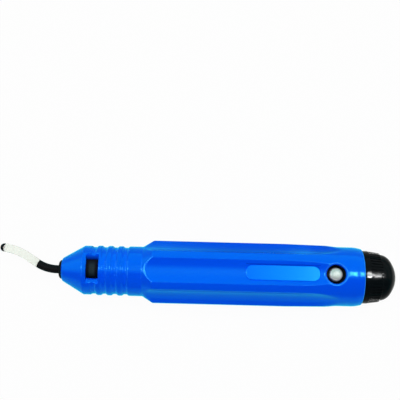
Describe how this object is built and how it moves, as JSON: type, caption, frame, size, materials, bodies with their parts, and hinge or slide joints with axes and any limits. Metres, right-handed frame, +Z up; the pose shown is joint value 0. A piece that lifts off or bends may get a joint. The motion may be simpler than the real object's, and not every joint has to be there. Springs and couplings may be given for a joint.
{
  "type": "hand deburring tool",
  "caption": "Fluted plastic hand tool with a swivelling hooked blade, thumb-button blade lock, sprung catch and a pull-out blade magazine under a ribbed end cap.",
  "frame": {"origin": "under the middle of the whole tool, on the surface that it rests on", "axes": "+X along the handle from the blade to the end cap, +Z up out of the thumb button, +Y to the side that the blade's hook bends towards at rest"},
  "size_m": [0.154, 0.0242, 0.0228],
  "materials": {
    "body_plastic": "smooth glossy moulded plastic, bright blue",
    "black_plastic": "black moulded plastic, half gloss",
    "bush_black": "blackened steel bush",
    "tool_steel": "black oxide tool steel with a bright ground face",
    "plain_steel": "plain bright steel",
    "spring_steel": "drawn spring wire"
  },
  "bodies": {
    "handle": {"handle_body": "body_plastic", "nose_bush": "bush_black", "shank_bush": "plain_steel", "lock_spring": "spring_steel"},
    "blade": {"blade": "tool_steel"},
    "lock": {"lock_button": "black_plastic", "latch_plate": "plain_steel"},
    "magazine": {"magazine_tray": "black_plastic", "end_cap": "black_plastic", "catch_collar": "black_plastic", "catch_spring": "spring_steel"},
    "catch": {"catch_pin": "plain_steel"}
  },
  "joints": [
    {"name": "blade_swivel", "type": "hinge", "parent": "handle", "child": "blade", "pos_m": [-0.0483, 0, 0.01142], "axis": [1, 0, 0], "continuous": true},
    {"name": "button_press", "type": "slide", "parent": "handle", "child": "lock", "axis": [0, 0, -1], "range_m": [0, 0.0015], "stiffness_N_per_m": 800, "springref_m": -0.0015, "deforming": ["lock_spring"]},
    {"name": "magazine_pull", "type": "slide", "parent": "handle", "child": "magazine", "axis": [1, 0, 0], "range_m": [0, 0.064]},
    {"name": "catch_press", "type": "slide", "parent": "magazine", "child": "catch", "axis": [0, 0, -1], "range_m": [0, 0.0012], "stiffness_N_per_m": 800, "springref_m": -0.0015, "deforming": ["catch_spring"]}
  ]
}
